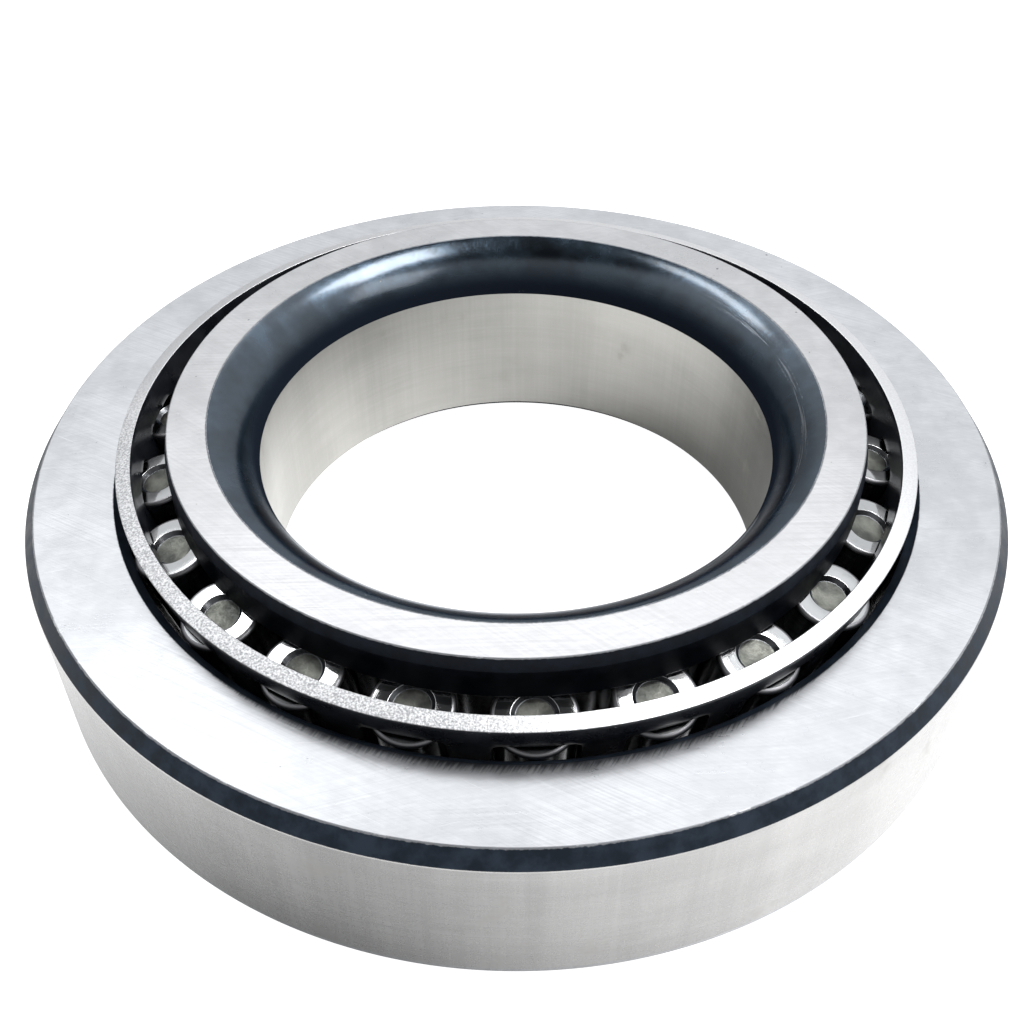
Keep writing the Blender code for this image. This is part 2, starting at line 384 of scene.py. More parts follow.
# FINE_MARKS, RING_MARKS and SMUDGES are how many marks lie in a metre across, along and up the bearing.
BAND_TALL = 0.05
FINE_MARKS = (2400.0, 2400.0, 60.0)
RING_MARKS = (40.0, 40.0, 3600.0)
SMUDGES = (55.0, 55.0, 210.0)
MOTTLE_EDGE = (0.40, 0.60)
MOTTLE_DARK = 0.87
STAIN_GRAIN = 160.0
STAIN_EDGE = (0.60, 0.78)
STAIN_SHARE = 0.4
MARK_COLOUR = (0.8, 0.8, 0.8, 1)
MARK_EDGE = (0.4, 0.7, 0.0, 0.1)
MARK_ROUGH = (0.3, 1.1)
ROUND_ROUGH = (-0.05, 0.1)
ROUND_DEPTH = 0.003 * MM


def round_ground(name, steel, band, rough, warm):
    """A ground cylinder: soft bands along its axis, fine marks round it and a little staining."""
    made, tree, surface, place = new_finish(name)
    bands = cloud(tree, scaled(tree, place, band, band, band * BAND_TALL), 1.0, detail=3.0, rough=0.55)
    fine = cloud(tree, scaled(tree, place, *FINE_MARKS), 1.0, detail=2.0, rough=0.6)
    rings = cloud(tree, scaled(tree, place, *RING_MARKS), 1.0, detail=3.0, rough=0.6)
    smudges = cloud(tree, scaled(tree, place, *SMUDGES), 1.0, detail=4.0, rough=0.6)
    stains = ease(tree, cloud(tree, place, STAIN_GRAIN, detail=5.0, rough=0.65), *STAIN_EDGE)
    mottle = ease(tree, average(tree, bands, smudges), *MOTTLE_EDGE)
    colour = tint(tree, mottle, darker(steel, MOTTLE_DARK), steel)
    colour = tint(tree, maths(tree, "MULTIPLY", stains, STAIN_SHARE), colour, warm)
    streak = average(tree, fine, rings)
    colour = tint(tree, ease(tree, streak, *MARK_EDGE), colour, MARK_COLOUR)
    tree.links.new(colour, surface["Base Color"])
    smooth, coarse = ROUND_ROUGH
    marked = maths(tree, "ADD", streak, stains)
    tree.links.new(ease(tree, marked, *MARK_ROUGH, rough + smooth, rough + coarse), surface["Roughness"])
    relief(tree, surface, streak, ROUND_DEPTH)
    return made


WORN_STEEL = (0.45, 0.46, 0.48, 1)
WORN_LINE = 0.55
NAVY = (0.022, 0.032, 0.048, 1)
SOOTY_GRAIN = 620.0
SOOTY_EDGE = (0.35, 0.7)
SOOTY_DARK = 0.5
SOOTY_SHINE = 0.12
SOOTY_ROUGH = (0.36, 0.52)
SOOTY_DEPTH = 0.02 * MM


def worn_edges(tree, place, edges, bare=0.0):
    """How bare the steel is, where each edge of a radius, height and reach has worn through."""
    for radius, height, reach in edges:
        wear = place_group(tree, EDGE_WEAR, Position=place, Radius=radius, Height=height, Reach=reach)
        worn = maths(tree, "MAXIMUM", maths(tree, "MULTIPLY", wear["Line"], WORN_LINE), wear["Nicks"])
        bare = maths(tree, "MAXIMUM", bare, maths(tree, "MULTIPLY", worn, wear["Line"]))
    return bare


def sooted(name, edges, colour):
    """Thick matt scale, with a little steel showing along its edges."""
    made, tree, surface, place = new_finish(name, Specular_IOR_Level=SOOTY_SHINE)
    cloudy = cloud(tree, place, SOOTY_GRAIN, detail=4.0, rough=0.6)
    body = tint(tree, ease(tree, cloudy, *SOOTY_EDGE), darker(colour, SOOTY_DARK), colour)
    bare = worn_edges(tree, place, edges)
    tree.links.new(tint(tree, bare, body, WORN_STEEL), surface["Base Color"])
    feed(tree, bare, surface["Metallic"])
    tree.links.new(ease(tree, cloudy, *WIDE, *SOOTY_ROUGH), surface["Roughness"])
    relief(tree, surface, cloudy, SOOTY_DEPTH)
    return made


HONING_MARKS = (60.0, 60.0, 5200.0)
HONING_BANDS = (30.0, 30.0, 420.0)
HONED_DARK = 0.8
HONED_ROUGH = (-0.03, 0.05)
HONED_DEPTH = 0.003 * MM
# A tumbled corner is rougher than the flank. Its much darker steel is painted shade, standing for the
# shade of the cup's mouth and the cage.
TUMBLED_SHADED_STEEL = (0.24, 0.24, 0.25, 1)
TUMBLED_ROUGH = 0.2


def honed(name, steel, rough, corner=None):
    """A superfinished raceway or roller flank, with hair-fine marks round the axis.

    Above the first height of corner it goes over to the dull, rougher finish of a tumbled corner, made
    much darker as painted shade."""
    made, tree, surface, place = new_finish(name)
    marks = cloud(tree, scaled(tree, place, *HONING_MARKS), 1.0, detail=2.0, rough=0.6)
    bands = cloud(tree, scaled(tree, place, *HONING_BANDS), 1.0)
    colour = tint(tree, ease(tree, bands, *WIDE), darker(steel, HONED_DARK), steel)
    smooth, coarse = HONED_ROUGH
    shine = ease(tree, marks, *WIDE, rough + smooth, rough + coarse)
    if corner:
        _, height = from_axis(tree, place)
        tumbled_and_shaded = ease(tree, height, *corner)
        colour = tint(tree, tumbled_and_shaded, colour, TUMBLED_SHADED_STEEL)
        shine = maths(tree, "ADD", shine, maths(tree, "MULTIPLY", tumbled_and_shaded, TUMBLED_ROUGH))
    tree.links.new(colour, surface["Base Color"])
    tree.links.new(shine, surface["Roughness"])
    relief(tree, surface, marks, HONED_DEPTH)
    return made


CUP_STEEL = (0.585, 0.595, 0.615, 1)
CUP_GRINDING = ((-16, 5200, 1.0), (-3, 3600, 0.5), (28, 5600, 0.6))
CUP_FRINGE = 0.95 * MM
CUP_SIDE_STEEL = (0.52, 0.515, 0.51, 1)
CUP_SIDE_BANDS = 190.0
CUP_SIDE_ROUGH = 0.30
CUP_SIDE_STAIN = (0.42, 0.40, 0.36, 1)
CUP_CORNER_WEAR = [
    (CUP_FACE_RADIUS, CUP_WIDTH, 0.25 * MM),
    (CUP_RADIUS, CUP_SIDE_TOP, 0.15 * MM),
]
RACE_STEEL = (0.5, 0.5, 0.51, 1)
RACE_ROUGH = 0.16

CUP_FACE, CUP_SIDE, CUP_SCALE, CUP_RACE = range(4)
cup_mesh = turn_on_lathe(
    "cup",
    [
        (CUP_FACE_RADIUS, CUP_WIDTH, FACE_EDGE, CUP_SCALE),
        (CUP_RADIUS, CUP_SIDE_TOP, SIDE_EDGE, CUP_SIDE),
        (CUP_RADIUS, 0, CUP_BACK_CORNER, CUP_FACE),
        (CUP_RACE_BOTTOM[0] + CUP_RACE_CHAMFER, 0, EDGE_BREAK, CUP_SCALE),
        (*CUP_RACE_BOTTOM, EDGE_BREAK, CUP_RACE),
        (*CUP_RACE_TOP, EDGE_BREAK, CUP_SCALE),
        (CUP_MOUTH_RADIUS, CUP_WIDTH, EDGE_BREAK, CUP_FACE),
    ],
    [
        flat_ground("ground_cup_face", CUP_STEEL, CUP_GRINDING, CUP_MOUTH_RADIUS, CUP_FRINGE),
        round_ground("ground_cup_side", CUP_SIDE_STEEL, CUP_SIDE_BANDS, CUP_SIDE_ROUGH, CUP_SIDE_STAIN),
        sooted("cup_corner_scale", CUP_CORNER_WEAR, NAVY),
        honed("cup_raceway", RACE_STEEL, RACE_ROUGH),
    ],
)
cup = set_out("cup", cup_mesh)
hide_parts("outer_ring")
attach(cup, "outer_ring")


# ---- Cone ------------------------------------------------------------------------------------
# The inner ring, of the same steel. Its faces, raceway and bore are ground. The big rounded bore corner,
# which clears the shaft's fillet, the undercuts and the two ribs beside the raceway keep their scale.

CONE_LOW, CONE_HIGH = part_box("inner_ring")
CONE_TOP = CONE_HIGH.z
CONE_FRONT = CONE_LOW.z
RIB_RADIUS = CONE_HIGH.x
RIB_CHAMFER = 0.3 * MM
CONE_FACE_RADIUS = RIB_RADIUS - RIB_CHAMFER
RIB_TOP = CONE_TOP - 1.2 * MM
BORE_RADIUS = 22.5 * MM
BORE_CORNER_START = Vector((BORE_RADIUS, CONE_TOP - 4.35 * MM))
BORE_CORNER_END = Vector((BORE_RADIUS + 3.9 * MM, CONE_TOP))
BORE_CORNER_ROUND = 6.2 * MM
BORE_CORNER_STEPS = 20
BORE_CORNER_LIP = 0.06 * MM
BORE_CHAMFER = 0.8 * MM
SMALL_RIB_RADIUS = 26.3 * MM
SMALL_RIB_TOP = 3.3 * MM
SMALL_RIB_ROUND = 0.3 * MM
SMALL_RIB_STEP = 0.2 * MM
CONE_RACE_TOP = (27.82 * MM, 16.2 * MM)
CONE_RACE_BOTTOM = (25.32 * MM, 4.1 * MM)
RIB_FACE_ROOT = (28.15 * MM, 17.03 * MM)
RIB_FACE_EDGE = 16.62 * MM
RIB_LIP = 0.05 * MM
RIB_EDGE = 0.08 * MM
UNDERCUT_DEPTH = 0.3 * MM
UNDERCUT_WIDTH = 0.35 * MM
UNDERCUT_ROUND = 0.15 * MM
CHAMFER_ROUND = 0.2 * MM

CONE_FACE, CONE_SCALE, CONE_BORE, CONE_RACE, RIB_CORNER, RIB_SIDE = range(6)


def bore_corner():
    """The big rounded corner, from the bore up to the back face, as an arc that meets neither smoothly."""
    chord = BORE_CORNER_END - BORE_CORNER_START
    half = math.asin(chord.length / 2 / BORE_CORNER_ROUND)
    aside = Vector((chord.y, -chord.x)).normalized() * BORE_CORNER_ROUND
    centre = (BORE_CORNER_START + BORE_CORNER_END) / 2 + aside * math.cos(half)
    corners = []
    for step in range(BORE_CORNER_STEPS + 1):
        turn = half * (1 - 2 * step / BORE_CORNER_STEPS)
        point = centre - Matrix.Rotation(turn, 2) @ aside
        corners.append([point.x, point.y, 0, CONE_SCALE])
    corners[0][2] = EDGE_BREAK
    corners[-1][2:] = BORE_CORNER_LIP, CONE_FACE
    return corners


SCALE = (0.045, 0.068, 0.094, 1)
SCALE_EDGE = (0.25, 0.32, 0.42, 1)
SCALE_GRAIN = 240.0
SCALE_MOTTLE = (0.35, 0.68)
SCALE_DARK = 0.55
SCALE_ROUGH = 0.27
SCALE_ROUGHER = (-0.06, 0.16)
SCALE_WEAR = (0.3, 1.2)
SCALE_COAT = 0.75
SCALE_PITS = 900.0
SCALE_DEPTH = 0.035 * MM
# Near-black: the real scale of the rib's corner, and painted shade low on the bore corner and on the rib's
# side.
SOOT_AND_SHADE = (0.010, 0.014, 0.022, 1)
SHADE_TO_SCALE = (BORE_CORNER_START.y + 0.8 * MM, BORE_CORNER_START.y + 3.0 * MM)
FLECK_GRAIN = 1300.0
FLECK_EDGE = (0.70, 0.78)
SCUFF_GRAIN = 110.0
SCUFF_EDGE = (0.52, 0.66)
RUBBED_TRACK = (24.7 * MM, CONE_TOP - 0.95 * MM)
RUBBED_WIDTH = 0.55 * MM
RUBBED_RINGS = (170.0, 170.0, 9000.0)
RUBBED_EDGE = (0.46, 0.68, 0.0, 0.30)
RUBBED_SIDE = (17 * MM, 23 * MM)


def blued(name, edges, dark=SCALE, rough=SCALE_ROUGH, shaded_below=None, rubbed=None):
    """Blue-black heat-treatment scale, worn through to steel along its edges and in odd scuffs.

    From the second of the two heights given for the painted shade down to the first it turns to matt
    near-black, painted shade for the dark that the corner mirrors near the bore. A track of rubbed streaks
    lies at the radius and height of rubbed, on one side of the piece."""
    made, tree, surface, place = new_finish(name, Specular_IOR_Level=0.0, Specular_Tint=SCALE_EDGE,
                                            Coat_Roughness=0.15, Coat_IOR=1.6)
    cloudy = cloud(tree, place, SCALE_GRAIN, detail=4.0, rough=0.6)
    colour = tint(tree, ease(tree, cloudy, *SCALE_MOTTLE), darker(dark, SCALE_DARK), dark)
    flecks = ease(tree, cloud(tree, place, FLECK_GRAIN, detail=3.0, rough=0.7), *FLECK_EDGE)
    scuffed = ease(tree, cloud(tree, place, SCUFF_GRAIN), *SCUFF_EDGE)
    bare = maths(tree, "MULTIPLY", flecks, scuffed)
    if rubbed:
        radius, height = rubbed
        wear = place_group(tree, EDGE_WEAR, Position=place, Radius=radius, Height=height,
                           Reach=RUBBED_WIDTH)
        rings = cloud(tree, scaled(tree, place, *RUBBED_RINGS), 1.0, detail=2.0, rough=0.6)
        streaks = maths(tree, "MULTIPLY", ease(tree, rings, *RUBBED_EDGE), wear["Line"])
        aside = node(tree, "SeparateXYZ", {0: place}).outputs["X"]
        track = maths(tree, "MULTIPLY", streaks, ease(tree, aside, *RUBBED_SIDE))
        bare = maths(tree, "MAXIMUM", bare, track)
    bare = worn_edges(tree, place, edges, bare)
    # Painted shade: low on the bore corner, next to the bore, the scale goes over to matt near-black for
    # the dark it mirrors there.
    if shaded_below:
        _, height = from_axis(tree, place)
        glossy = ease(tree, height, *shaded_below)
        colour = tint(tree, glossy, SOOT_AND_SHADE, colour)
        tree.links.new(maths(tree, "MULTIPLY", glossy, SCALE_COAT), surface["Coat Weight"])
        tree.links.new(maths(tree, "MAXIMUM", bare, glossy), surface["Metallic"])
    tree.links.new(tint(tree, bare, colour, WORN_STEEL), surface["Base Color"])
    smooth, coarse = SCALE_ROUGHER
    worn = maths(tree, "ADD", cloudy, bare)
    tree.links.new(ease(tree, worn, *SCALE_WEAR, rough + smooth, rough + coarse), surface["Roughness"])
    pitted = cloud(tree, place, SCALE_PITS, detail=4.0, rough=0.65)
    relief(tree, surface, maths(tree, "SUBTRACT", pitted, bare), SCALE_DEPTH)
    return made


CONE_STEEL = (0.57, 0.57, 0.58, 1)
CONE_GRINDING = ((-2, 4600, 1.0), (-24, 3400, 0.4), (38, 4200, 0.4))
CONE_FRINGE = 0.3 * MM
CONE_PITS = 0.01
BORE_STEEL = (0.46, 0.455, 0.43, 1)
BORE_BANDS = 120.0
BORE_ROUGH = 0.34
BORE_STAIN = (0.36, 0.345, 0.29, 1)
BORE_CORNER_WEAR = [(BORE_CORNER_END.x, CONE_TOP, 0.12 * MM)]
RIB_WEAR = [(CONE_FACE_RADIUS, CONE_TOP, 0.2 * MM)]
# The rib's side gets the near-black at 0.4 of its light. This is painted shade on the side of the rib that
# faces the rollers.
RIB_SIDE_SHADE = darker(SOOT_AND_SHADE, 0.4)

cone_mesh = turn_on_lathe(
    "cone",
    [
        (CONE_FACE_RADIUS, CONE_TOP, EDGE_BREAK, RIB_CORNER),
        (RIB_RADIUS, RIB_TOP, SIDE_EDGE, RIB_SIDE),
        (RIB_RADIUS, RIB_FACE_EDGE + RIB_CHAMFER, RIB_LIP, CONE_RACE),
        (RIB_RADIUS - RIB_CHAMFER, RIB_FACE_EDGE + RIB_LIP, RIB_EDGE, CONE_RACE),
        (*RIB_FACE_ROOT, EDGE_BREAK, CONE_SCALE),
        (CONE_RACE_TOP[0] - UNDERCUT_DEPTH, RIB_FACE_ROOT[1] - UNDERCUT_WIDTH, UNDERCUT_ROUND, CONE_SCALE),
        (*CONE_RACE_TOP, EDGE_BREAK, CONE_RACE),
        (*CONE_RACE_BOTTOM, EDGE_BREAK, CONE_SCALE),
        (CONE_RACE_BOTTOM[0] - UNDERCUT_DEPTH, SMALL_RIB_TOP + UNDERCUT_WIDTH, UNDERCUT_ROUND, CONE_SCALE),
        (CONE_RACE_BOTTOM[0] + SMALL_RIB_STEP, SMALL_RIB_TOP, EDGE_BREAK, CONE_SCALE),
        (SMALL_RIB_RADIUS, SMALL_RIB_TOP, SIDE_EDGE, CONE_SCALE),
        (SMALL_RIB_RADIUS, CONE_FRONT, SMALL_RIB_ROUND, CONE_FACE),
        (BORE_RADIUS + BORE_CHAMFER, CONE_FRONT, UNDERCUT_ROUND, CONE_SCALE),
        (BORE_RADIUS, CONE_FRONT + BORE_CHAMFER, CHAMFER_ROUND, CONE_BORE),
        *bore_corner(),
    ],
    [
        flat_ground("ground_cone_face", CONE_STEEL, CONE_GRINDING, BORE_CORNER_END.x, CONE_FRINGE,
                    CONE_PITS),
        blued("cone_scale", BORE_CORNER_WEAR, shaded_below=SHADE_TO_SCALE, rubbed=RUBBED_TRACK),
        round_ground("ground_bore", BORE_STEEL, BORE_BANDS, BORE_ROUGH, BORE_STAIN),
        honed("cone_raceway", RACE_STEEL, RACE_ROUGH),
        sooted("rib_corner_scale", RIB_WEAR, SOOT_AND_SHADE),
        sooted("rib_side_shaded_scale", [], RIB_SIDE_SHADE),
    ],
)
cone = set_out("cone", cone_mesh)
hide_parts("inner_ring")
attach(cone, "inner_ring")


# ---- Tapered rollers -------------------------------------------------------------------------
# Slim cones headed from wire, hardened, ground and superfinished. The header leaves a round dimple in
# the large end; the ring round it is lapped bright, because it slides on the cone's rib.

ROLLER_LENGTH = 13.5 * MM
ROLLER_RADIUS = 3.25 * MM
ROLLER_SMALL_RADIUS = 2.945 * MM
ROLLER_EDGE = 0.35 * MM
DIMPLE_MOUTH = 1.75 * MM
DIMPLE_FLOOR = 1.45 * MM
DIMPLE_DEPTH = 0.35 * MM
DIMPLE_LIP = 0.06 * MM
ROLLER_STEPS = 96
ROLLER_APART = 2.4
ROLLER_STEEL = (0.62, 0.63, 0.64, 1)
ROLLER_ROUGH = 0.15
ROLLER_CORNER = (-1.1 * ROLLER_EDGE, -0.7 * ROLLER_EDGE)
# The dimple's shoulder, the wall of its recess, is given a dark colour. This is painted shade in the
# recess.
SHOULDER_SHADE = (0.16, 0.165, 0.175, 1)
SHOULDER_ROUGH = 0.3
LAPPED_STEEL = (0.46, 0.465, 0.47, 1)
LAPPED_FILM = (0.28, 0.28, 0.27, 1)
LAPPED_CIRCLES = 4200.0
LAPPED_WANDER = 200.0
LAPPED_ROUGH = (0.3, 1.0, 0.07, 0.15)
LAPPED_DEPTH = 0.003 * MM
FILM_GRAIN = 500.0
FILM_EDGE = (0.5, 0.75, 0.0, 0.5)
DIMPLE_STEELS = ((0.09, 0.094, 0.087, 1), (0.23, 0.235, 0.21, 1))
DIMPLE_BLOTCHES = 600.0
DIMPLE_GRAIN = 2600.0
DIMPLE_ROUGH = (0.42, 0.62)
DIMPLE_RELIEF = 0.03 * MM


def lapped_end():
    """The bright ring of a roller's large end: faint lapping circles under a thin film of oil."""
    made, tree, surface, place = new_finish("lapped_roller_end")
    radius, _ = from_axis(tree, place)
    rings = maths(tree, "MULTIPLY", radius, LAPPED_CIRCLES)
    wander = cloud(tree, place, LAPPED_WANDER)
    circles = cloud(tree, node(tree, "CombineXYZ", {"X": rings, "Y": wander}).outputs[0], 1.0)
    film = ease(tree, cloud(tree, place, FILM_GRAIN, detail=4.0, rough=0.6), *FILM_EDGE)
    tree.links.new(tint(tree, film, LAPPED_STEEL, LAPPED_FILM), surface["Base Color"])
    tree.links.new(ease(tree, maths(tree, "ADD", circles, film), *LAPPED_ROUGH), surface["Roughness"])
    relief(tree, surface, circles, LAPPED_DEPTH)
    return made


def headed_dimple():
    """The floor of the dimple: as headed, matt grey and slightly grainy."""
    made, tree, surface, place = new_finish("headed_dimple")
    grain = cloud(tree, place, DIMPLE_GRAIN, detail=4.0, rough=0.65)
    blotch = cloud(tree, place, DIMPLE_BLOTCHES, detail=3.0, rough=0.6)
    tree.links.new(tint(tree, ease(tree, blotch, *SOOTY_EDGE), *DIMPLE_STEELS), surface["Base Color"])
    tree.links.new(ease(tree, grain, *WIDE, *DIMPLE_ROUGH), surface["Roughness"])
    relief(tree, surface, grain, DIMPLE_RELIEF)
    return made


FLANK, END, DIMPLE, SHOULDER = range(4)
roller_mesh = turn_on_lathe(
    "tapered_roller",
    [
        (0, -DIMPLE_DEPTH, 0, DIMPLE),
        (DIMPLE_FLOOR, -DIMPLE_DEPTH, EDGE_BREAK, SHOULDER),
        (DIMPLE_MOUTH, 0, DIMPLE_LIP, END),
        (ROLLER_RADIUS, 0, ROLLER_EDGE, FLANK),
        (ROLLER_SMALL_RADIUS, -ROLLER_LENGTH, ROLLER_EDGE, END),
        (0, -ROLLER_LENGTH, 0, END),
    ],
    [
        honed("roller_flank", ROLLER_STEEL, ROLLER_ROUGH, ROLLER_CORNER),
        lapped_end(),
        headed_dimple(),
        blued("dimple_shoulder_shade", [], SHOULDER_SHADE, SHOULDER_ROUGH),
    ],
    ROLLER_STEPS,
    closed=False,
)


def roller_place(joint, turn):
    """Where a roller lies: its large end's centre, its axis along its joint, turned about that axis."""
    centre = Vector(joint["pos_m"])
    along = Vector(joint["axis"]).normalized()
    aside = Vector((-centre.y, centre.x, 0)).normalized()
    outward = aside.cross(along)
    facing = Matrix((outward, aside, along)).transposed().to_4x4()
    return Matrix.Translation(centre) @ facing @ Matrix.Rotation(turn, 4, "Z")


# Each roller is turned by ROLLER_APART more than the one before, so that no two show the same marks.
roller_joints = [joint for joint in frame["joints"] if joint["child"].startswith("roller_")]
for number, joint in enumerate(roller_joints):
    roller = set_out("tapered_" + joint["child"], roller_mesh)
    roller.matrix_world = roller_place(joint, ROLLER_APART * number)
    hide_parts(joint["child"])
    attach(roller, joint["child"])


# ---- Cage ------------------------------------------------------------------------------------
# Pressed from one disc of mild steel: drawn to a cone, its small end flanged in, its windows punched
# and its rim sheared off, which leaves a bright edge. The rest is dark with phosphate and oil.

CAGE_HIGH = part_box("cage")[1]
CAGE_THICKNESS = 1.34 * MM
CAGE_SLOPE = math.radians(13.794)
CAGE_RIM = Vector((CAGE_HIGH.x, CAGE_HIGH.z))
CAGE_CORNER = Vector((29.886 * MM, 0.421 * MM))
CAGE_BEND = 1.6 * MM
CAGE_FLANGE_RADIUS = 27.1 * MM
WINDOW_TOP = 2.39 * MM
WINDOW_END = 16.59 * MM
WINDOW_WIDTHS = (6.4 * MM, 6.0 * MM)
WINDOW_CORNER = 0.8 * MM
CAGE_EDGE = 0.09 * MM
BAR_COLUMNS = 6
WINDOW_COLUMNS = 8
RIM_ROWS = 5
CORNER_ROWS = 5
WINDOW_ROWS = 16
BEND_ROWS = 8
FLANGE_ROWS = 3
WALL = Vector((-math.sin(CAGE_SLOPE), -math.cos(CAGE_SLOPE)))
FLANGE = Vector((-math.cos(CAGE_SLOPE), math.sin(CAGE_SLOPE)))


def cage_outline():
    """Rows from the rim to the flange's edge.

    A row is (radius, height, half the window's width, whether the window is open below it)."""
    rows = []
    rounding = [math.pi / 2 * step / CORNER_ROWS for step in range(CORNER_ROWS + 1)]
    length = WINDOW_END - WINDOW_TOP

    def add(down, half, opened):
        point = CAGE_RIM + WALL * down
        rows.append((point.x, point.y, half, opened))

    wide, narrow = WINDOW_WIDTHS
    top_half = wide / 2 - WINDOW_CORNER
    end_half = narrow / 2 - WINDOW_CORNER
    for step in range(RIM_ROWS):
        add(WINDOW_TOP * step / RIM_ROWS, top_half, False)
    for turn in rounding:
        down = WINDOW_CORNER * (1 - math.cos(turn))
        add(WINDOW_TOP + down, top_half + WINDOW_CORNER * math.sin(turn), True)
    for step in range(1, WINDOW_ROWS):
        share = WINDOW_CORNER / length + (1 - 2 * WINDOW_CORNER / length) * step / WINDOW_ROWS
        add(WINDOW_TOP + length * share, wide / 2 + (narrow - wide) / 2 * share, True)
    for turn in reversed(rounding):
        up = WINDOW_CORNER * (1 - math.cos(turn))
        add(WINDOW_END - up, end_half + WINDOW_CORNER * math.sin(turn), turn > 0)
    bend = CAGE_CORNER - WALL * CAGE_BEND + FLANGE * CAGE_BEND
    for step in range(BEND_ROWS + 1):
        turn = math.pi / 2 * step / BEND_ROWS
        point = bend - FLANGE * CAGE_BEND * math.cos(turn) + WALL * CAGE_BEND * math.sin(turn)
        rows.append((point.x, point.y, end_half, False))
    start = Vector(rows[-1][:2])
    reach = (start.x - CAGE_FLANGE_RADIUS) / math.cos(CAGE_SLOPE)
    for step in range(1, FLANGE_ROWS + 1):
        point = start + FLANGE * reach * step / FLANGE_ROWS
        rows.append((point.x, point.y, end_half, False))
    return rows


def punch_cage():
    """The outside of the pressed sheet, with an opening for each roller."""
    sheet = bmesh.new()
    pitch = math.tau / len(roller_joints)
    first = math.atan2(roller_joints[0]["pos_m"][1], roller_joints[0]["pos_m"][0])
    rows = cage_outline()
    grid = []
    for radius, height, half, _ in rows:
        row = []
        edge = half / radius
        for number in range(len(roller_joints)):
            middle = first + pitch * number
            turns = [middle + edge * (2 * step / WINDOW_COLUMNS - 1) for step in range(WINDOW_COLUMNS)]
            gap = pitch - 2 * edge
            turns += [middle + edge + gap * step / BAR_COLUMNS for step in range(BAR_COLUMNS)]
            for turn in turns:
                row.append(sheet.verts.new((radius * math.cos(turn), radius * math.sin(turn), height)))
        grid.append(row)
    across = WINDOW_COLUMNS + BAR_COLUMNS
    for upper, lower, (_, _, _, opened) in zip(grid, grid[1:], rows):
        for column in range(len(upper)):
            if opened and column % across < WINDOW_COLUMNS:
                continue
            after = (column + 1) % len(upper)
            face = sheet.faces.new((upper[column], lower[column], lower[after], upper[after]))
            face.smooth = True
    loose = [corner for corner in sheet.verts if not corner.link_faces]
    bmesh.ops.delete(sheet, geom=loose, context="VERTS")
    mesh = bpy.data.meshes.new("cage_sheet")
    sheet.to_mesh(mesh)
    sheet.free()
    return mesh


PHOSPHATE = ((0.006, 0.007, 0.010, 1), (0.018, 0.020, 0.025, 1))
PHOSPHATE_GRAIN = 260.0
PHOSPHATE_ROUGH = (0.24, 0.38)
PEEL_GRAIN = 1300.0
PEEL_DEPTH = 0.02 * MM
RUB_GRAIN = 1900.0
RUB_EDGE = (0.62, 0.74)
RUB_WIDTH = 0.9 * MM
RUBBED_STEEL = (0.42, 0.43, 0.44, 1)
# On the rim's near left side the sheet tore, so it is rougher and grainier there. It is also painted
# darker there, as painted shade, because the light falls from the right.
TORN_SHADED_SIDE = (-0.71, -0.71, 0)
TORN_SHADED_FROM = (17 * MM, 28 * MM)
TORN_GRAIN = 6000.0
TORN_EDGE = (0.34, 0.66)
TORN_SHADED_STEELS = ((0.33, 0.335, 0.345, 1), (0.68, 0.68, 0.69, 1))
SMOOTH_STEELS = ((0.64, 0.64, 0.65, 1), (0.72, 0.72, 0.73, 1))
PUNCHED_STEEL = (0.06, 0.063, 0.07, 1)
SHEARED_FROM = (CAGE_RIM.y - 1.2 * MM, CAGE_RIM.y - 0.8 * MM)
SHEARED_ROUGH = (0.36, 0.52)
TORN_DEPTH = 0.035 * MM


def phosphated():
    """Drawn sheet under phosphate and oil: near black, a little orange peel, rubbed at the rim."""
    made, tree, surface, place = new_finish("phosphated_sheet", Specular_IOR_Level=0.25,
                                            Coat_Weight=0.25, Coat_Roughness=0.25)
    patches = cloud(tree, place, PHOSPHATE_GRAIN, detail=4.0, rough=0.6)
    colour = tint(tree, ease(tree, patches, *SOOTY_EDGE), *PHOSPHATE)
    rub = ease(tree, cloud(tree, place, RUB_GRAIN, detail=4.0, rough=0.7), *RUB_EDGE)
    wear = place_group(tree, EDGE_WEAR, Position=place, Radius=CAGE_RIM.x, Height=CAGE_RIM.y,
                       Reach=RUB_WIDTH)
    bare = maths(tree, "MULTIPLY", rub, wear["Line"])
    tree.links.new(tint(tree, bare, colour, RUBBED_STEEL), surface["Base Color"])
    tree.links.new(bare, surface["Metallic"])
    tree.links.new(ease(tree, patches, *WIDE, *PHOSPHATE_ROUGH), surface["Roughness"])
    relief(tree, surface, cloud(tree, place, PEEL_GRAIN, detail=3.0, rough=0.6), PEEL_DEPTH)
    return made


